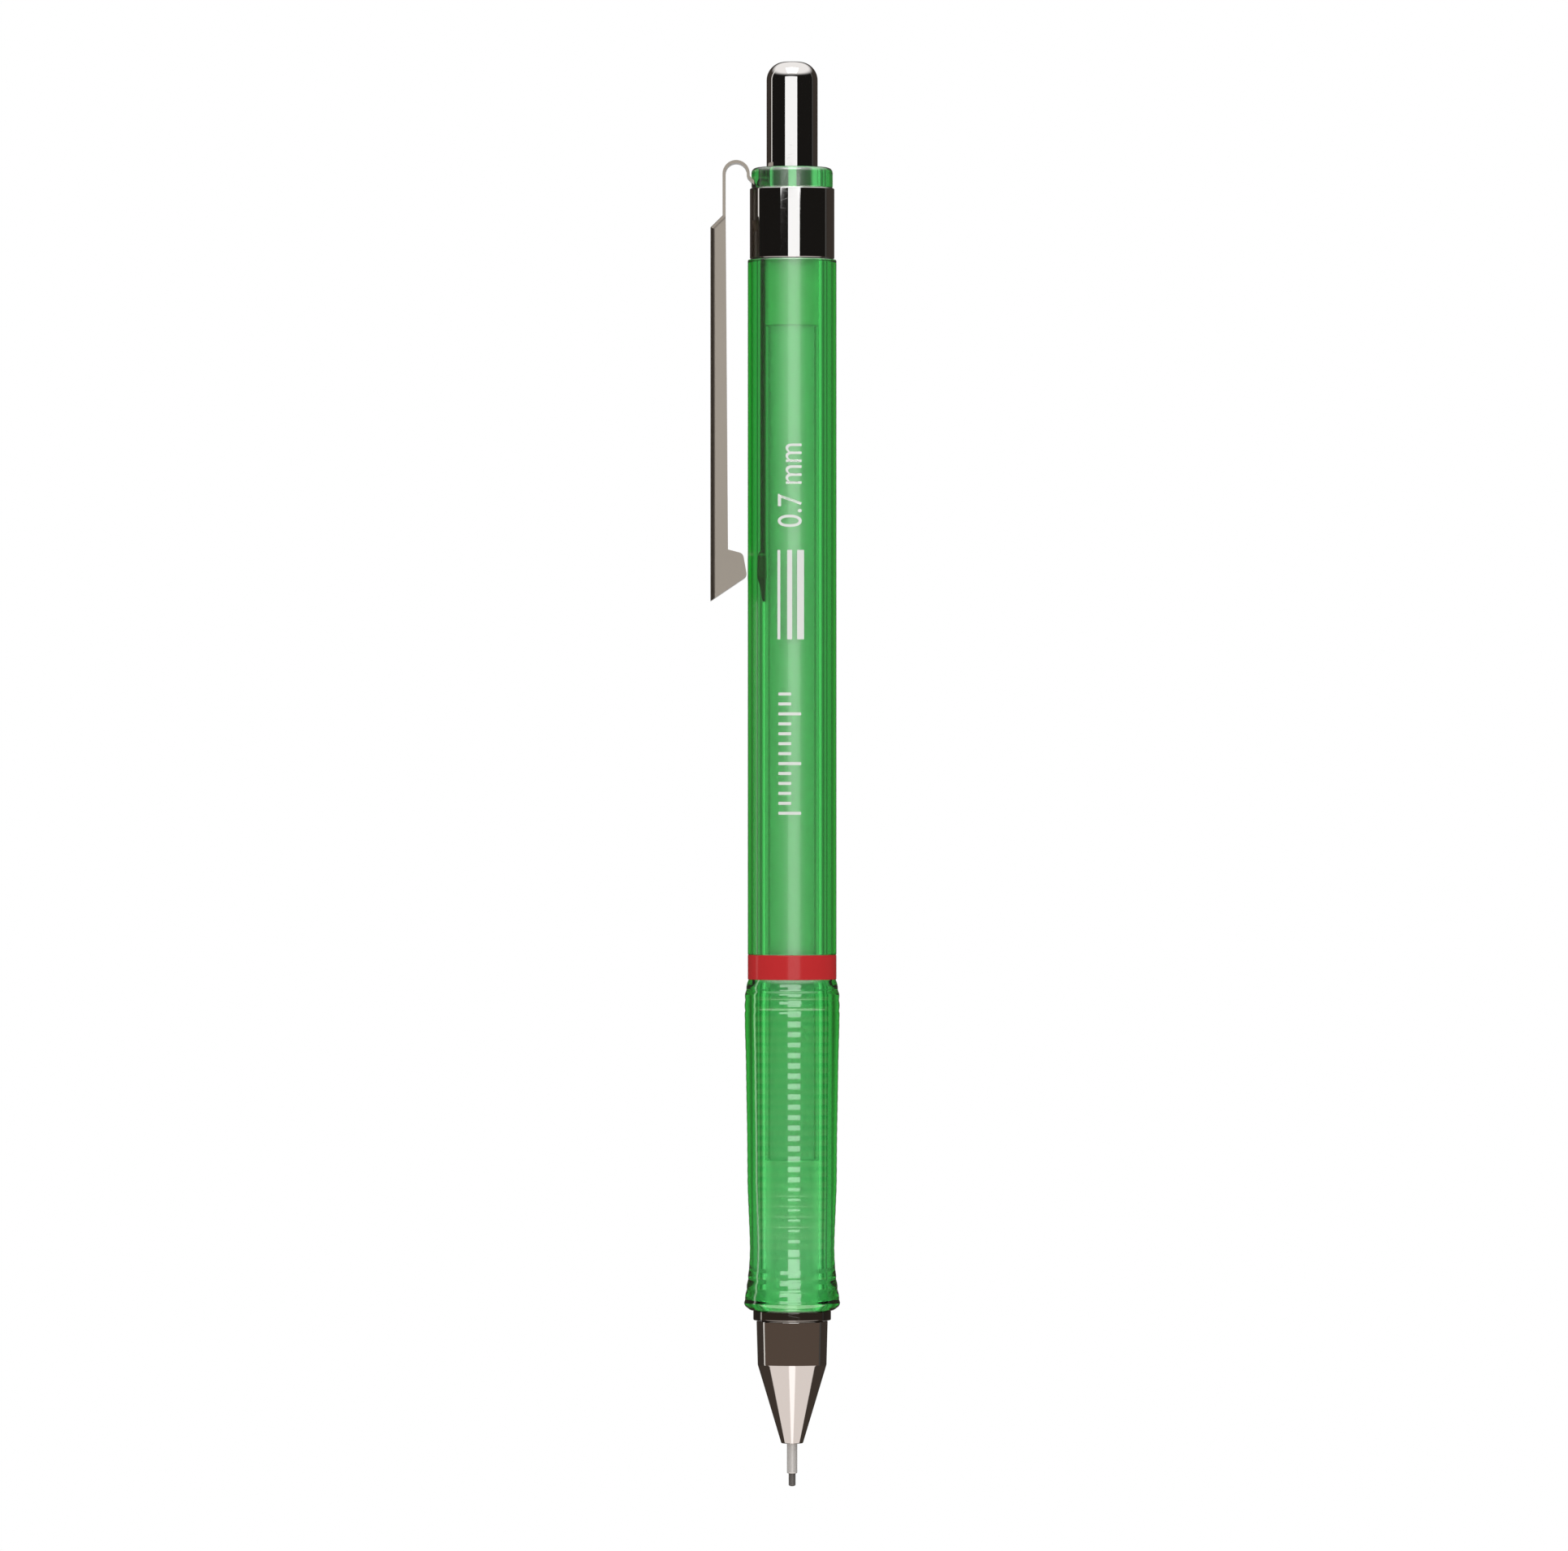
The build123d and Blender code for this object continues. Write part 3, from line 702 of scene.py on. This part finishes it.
def makeRing():
    s = ringSizes
    low, bore = zBarrelTop + s["gap"], ringR - s["wall"]
    outline = roundedOutline([
        (bore, low, 0), (ringR, low, s["edge"]), (ringR, zRingTop, s["edge"]),
        (bore, zRingTop, s["boreEdge"]),
    ])
    piece = turned("clipRing", outline, s["around"])
    return settle(piece, "brightChrome", "body", "bright_chrome", "clip_ring")


capSizes = {
    "wall": 0.3, "mouthEdge": 0.1, "topRound": 1.9, "innerRound": 1.6, "outerSteps": 16, "innerSteps": 12,
}


def makeCap():
    # a thin cup: the outline goes down the inside from the axis, then up the outside and back to it
    s = capSizes
    innerR, innerTop = capR - s["wall"], zCapTop - s["wall"]
    outer = [(capR, zCap, s["mouthEdge"]), (capR, zCapTop, s["topRound"]), (0, zCapTop, 0)]
    inner = [(innerR, zCap, 0), (innerR, innerTop, s["innerRound"]), (0, innerTop, 0)]
    outline = np.concatenate([
        roundedOutline(inner, s["innerSteps"])[::-1], roundedOutline(outer, s["outerSteps"]),
    ])
    piece = turnedSolid("pushCap", outline)
    return settle(piece, "brightChrome", "cap", "bright_chrome", "push_cap")


makeBushing()
makeRing()
makeCap()
print("rear made")


tubeSizes = {
    "bore": 1.65, "eraserBore": 1.85, "eraserDepth": 5.0, "thinEdge": 0.05, "topEdge": 0.1, "around": 128,
}


def makeTube():
    s = tubeSizes
    zSeat = zTubeTop - s["eraserDepth"]
    outline = roundedOutline([
        (s["bore"], zTube, 0), (tubeR, zTube, s["thinEdge"]), (tubeR, zTubeTop, s["topEdge"]),
        (s["eraserBore"], zTubeTop, s["thinEdge"]), (s["eraserBore"], zSeat, 0), (s["bore"], zSeat, 0),
    ])
    piece = turned("leadTube", outline, s["around"])
    return settle(piece, "milkyTube", "feed", "natural_plastic", "lead_tube")


springSizes = {"wire": 0.35, "turns": 8, "stepsPerTurn": 40, "round": 12, "travel": 4.5}


def makeSpring():
    # centre = (R cos 2 pi n t, R sin 2 pi n t, low + t * rise); the wire is a circle in the plane of the
    # outward direction and of tangent x outward, and a fan closes each end
    s = springSizes
    half = s["wire"] / 2
    middleR = springR - half
    t = np.linspace(0, 1, s["turns"] * s["stepsPerTurn"] + 1)[:, None]
    turn = 2 * math.pi * s["turns"] * t
    rise = zSpringTop - zSpring - s["wire"]
    outward = np.concatenate([np.cos(turn), np.sin(turn), 0 * t], 1)
    centre = middleR * outward + [0, 0, 1] * (zSpring + half + rise * t)
    slope = rise / (2 * math.pi * s["turns"])
    tangent = np.concatenate([-middleR * np.sin(turn), middleR * np.cos(turn), slope + 0 * t], 1)
    tangent /= np.linalg.norm(tangent, axis=1, keepdims=True)
    across = np.cross(tangent, outward)
    b = np.linspace(0, 2 * math.pi, s["round"], endpoint=False)[None, :, None]
    rings = centre[:, None] + half * (np.cos(b) * outward[:, None] + np.sin(b) * across[:, None])
    points = np.concatenate([rings.reshape(-1, 3), centre[:1], centre[-1:]])
    count = len(t) * s["round"]
    j = np.arange(s["round"])
    faces = gridFaces(len(t), s["round"], False, True)[:, ::-1].tolist()
    faces += fan(j, count, True) + fan(count - s["round"] + j, count + 1, False)
    piece = addMesh("coilSpring", points, faces)
    settle(piece, "springWire", "body", "spring_steel", "return_spring")
    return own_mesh(piece)


makeTube()
makeSpring()
for node, finish in {
    "spare_leads": "graphite", "eraser": "eraserWhite", "chuck_holder": "whitePlug",
    "chuck_stem": "turnedBrass", "chuck_jaw_1": "turnedBrass", "chuck_jaw_2": "turnedBrass",
    "chuck_jaw_3": "turnedBrass", "clutch_ring": "turnedBrass", "lead_retainer": "retainerBlack",
    "clip_tongue": "clipMetal", "clip_arm": "clipMetal",
}.items():
    wear(nodes[node], finish)
print("feed made")


# place, the point it faces, size across and up, radiance
softboxes = {
    "tallSoftbox": ((0.05, -0.6, 0.0825), (0.0, 0.0, 0.0825), (0.335, 0.165), 1.12),
    "capSoftbox": ((-0.047, -0.6, 0.266), (0.0, 0.0, 0.2), (0.627, 0.2), 1.1),
    "overhead": ((0.0, -0.35, 0.75), (0.0, -0.1, 0.0), (0.5, 0.5), 3.0),
}


def addSoftbox(name):
    place, aim, size, radiance = softboxes[name]
    light = bpy.data.lights.new(name, "AREA")
    light.shape = "RECTANGLE"
    light.size, light.size_y = size
    light.energy = radiance * size[0] * size[1] * math.pi  # power that gives the radiance
    lamp = bpy.data.objects.new(name, light)
    bpy.context.scene.collection.objects.link(lamp)
    lamp.location = place
    lamp.rotation_euler = (Vector(aim) - Vector(place)).to_track_quat("-Z", "Y").to_euler()
    lamp.visible_camera = False
    lamp.visible_transmission = False


# each pair is where a soft step along a direction begins and ends
air = {
    "metalDark": (0.010, 0.009, 0.008), "metalWarm": (0.10, 0.072, 0.056),
    "metalSide": (0.045, 0.036, 0.030), "metalLine": (0.85, 0.82, 0.78),
    "metalSky": (1.0, 0.97, 0.95), "metalBack": (1.0, 1.0, 1.0),
    "front": (0.2, 0.17), "below": (0.0, -0.09), "side": (0.30, 0.34), "back": (0.955, 0.985),
    "lineFrom": (0.19, 0.21), "lineTo": (0.31, 0.29), "lineFade": (1.4, -1.2), "sky": (0.42, 0.7),
    "coneMiddle": (0.84, 0.76, 0.72), "coneBright": (1.32, 1.22, 1.19),
    "coneBack": (0.055, 0.042, 0.034), "coneRight": (0.20, 0.14), "coneLeft": (-0.20, -0.14),
    "coneTurn": (-0.06, 0.0), "coneBelow": (-0.2, -0.28),
    "clearPale": (0.78, 0.80, 0.76), "clearDeep": (0.34, 0.36, 0.34), "clearEdge": (1.5, 1.5, 1.45),
    "innerFrom": (0.30, 0.36), "innerTo": (0.52, 0.46), "outerFrom": (0.62, 0.68),
    "outerTo": (0.82, 0.78), "edgeFrom": (0.84, 0.9),
    "insideDark": (0.14, 0.15, 0.14), "insideTurn": (0.1, -0.3), "stripe": (1.2, 1.2, 1.15),
    "stripeRight": (0.33, 0.24), "stripeLeft": (-0.30, -0.20), "stripeTurn": (0.0, -0.4),
    "matteFront": (2.5, 2.5, 2.45), "matteBack": (1.1, 1.1, 1.1), "matteTurn": (-0.3, 0.6),
    "room": (0.55, 0.55, 0.55), "backdrop": (1.0, 1.0, 1.0),
}


def makeWorld():
    # pale to the camera and through the clear parts; to metal, dark with a bright back, a thin light
    # line to each side, and a warm front below
    s = air
    world = bpy.data.worlds.new("studioAir")
    world.use_nodes = True
    tree = world.node_tree
    tree.nodes.clear()
    place = tree.nodes.new("ShaderNodeTexCoord")
    parts = tree.nodes.new("ShaderNodeSeparateXYZ")
    tree.links.new(place.outputs["Generated"], parts.inputs[0])
    x, y, z = parts.outputs

    def step(value, name):
        node = tree.nodes.new("ShaderNodeMapRange")
        node.interpolation_type = "SMOOTHSTEP"
        node.inputs["From Min"].default_value, node.inputs["From Max"].default_value = s[name]
        tree.links.new(value, node.inputs["Value"])
        return node.outputs["Result"]

    def mix(mask, first, second):
        return mixNode(tree, mask, first, second)

    def times(first, second):
        return mathNode(tree, "MULTIPLY", first, second)

    edgeLine = times(step(y, "lineFrom"), step(y, "lineTo"))
    metal = mix(times(step(y, "front"), step(z, "below")), s["metalDark"], s["metalWarm"])
    metal = mix(step(y, "side"), metal, s["metalSide"])
    metal = mix(times(edgeLine, step(x, "lineFade")), metal, s["metalLine"])
    metal = mix(step(z, "sky"), metal, s["metalSky"])
    cone = mix(times(step(x, "coneRight"), step(x, "coneLeft")), s["coneMiddle"], s["coneBright"])
    cone = mix(step(y, "coneTurn"), cone, s["coneBack"])
    metal = mix(step(z, "coneBelow"), metal, cone)
    metal = mix(step(y, "back"), metal, s["metalBack"])

    # through the walls: pale with two deeper bands to each side; after a reflection inside them: dark,
    # with one light stripe in front
    sideways = mathNode(tree, "ABSOLUTE", x)
    innerBand = times(step(sideways, "innerFrom"), step(sideways, "innerTo"))
    outerBand = times(step(sideways, "outerFrom"), step(sideways, "outerTo"))
    clear = mix(mathNode(tree, "MAXIMUM", innerBand, outerBand), s["clearPale"], s["clearDeep"])
    clear = mix(step(sideways, "edgeFrom"), clear, s["clearEdge"])
    inside = mix(step(y, "insideTurn"), clear, s["insideDark"])
    stripe = times(times(step(x, "stripeRight"), step(x, "stripeLeft")), step(y, "stripeTurn"))
    inside = mix(stripe, inside, s["stripe"])
    matte = mix(step(y, "matteTurn"), s["matteFront"], s["matteBack"])

    path = tree.nodes.new("ShaderNodeLightPath")
    hitMatte = mathNode(tree, "GREATER_THAN", path.outputs["Diffuse Depth"], 0.5)
    hitShine = mathNode(tree, "GREATER_THAN", path.outputs["Glossy Depth"], 0.5)
    through = mix(hitMatte, mix(hitShine, clear, inside), matte)
    colour = mix(path.outputs["Is Glossy Ray"], s["room"], metal)
    colour = mix(path.outputs["Is Transmission Ray"], colour, through)
    colour = mix(path.outputs["Is Camera Ray"], colour, s["backdrop"])
    shader = tree.nodes.new("ShaderNodeBackground")
    output = tree.nodes.new("ShaderNodeOutputWorld")
    joinNodes(tree, (colour, shader.inputs["Color"]), (shader.outputs[0], output.inputs["Surface"]))
    bpy.context.scene.world = world


floorSizes = {"radius": 420, "height": -50, "corners": 96, "colour": (0.86, 0.85, 0.83), "roughness": 0.8}


def makeFloor():
    # one flat disc, below the reach of the lead
    s = floorSizes
    a = np.linspace(0, 2 * math.pi, s["corners"], endpoint=False)
    disc = np.stack([s["radius"] * np.cos(a), s["radius"] * np.sin(a), a * 0 + s["height"]], -1)
    floor = addFlat("paleFloor", disc, [list(range(s["corners"]))])
    material = newFinish("paleFloor", Base_Color=(*s["colour"], 1), Roughness=s["roughness"])[0]
    floor.data.materials.append(material)
    floor.visible_glossy = False


bounces = {"all": 24, "through": 20}  # enough for clear walls behind one another
view = {"distance": 1.1, "wide": 0.1584, "x": -0.00082, "z": 0.0718, "sensor": 36.0, "clipStart": 0.05}


def makeCamera():
    # level, in front of the object; lens = sensor * distance / width shown
    s = view
    camera = bpy.data.objects.new("camera", bpy.data.cameras.new("camera"))
    bpy.context.scene.collection.objects.link(camera)
    camera.data.sensor_width = s["sensor"]
    camera.data.lens = s["sensor"] * s["distance"] / s["wide"]
    camera.data.clip_start = s["clipStart"]
    camera.location = (s["x"], -s["distance"], s["z"])
    camera.rotation_euler = (math.radians(90), 0, 0)
    bpy.context.scene.camera = camera


makeWorld()
makeFloor()
for name in softboxes:
    addSoftbox(name)
makeCamera()
bpy.context.scene.view_settings.view_transform = "Standard"
bpy.context.scene.cycles.max_bounces = bounces["all"]
bpy.context.scene.cycles.transmission_bounces = bounces["through"]
print("studio made")
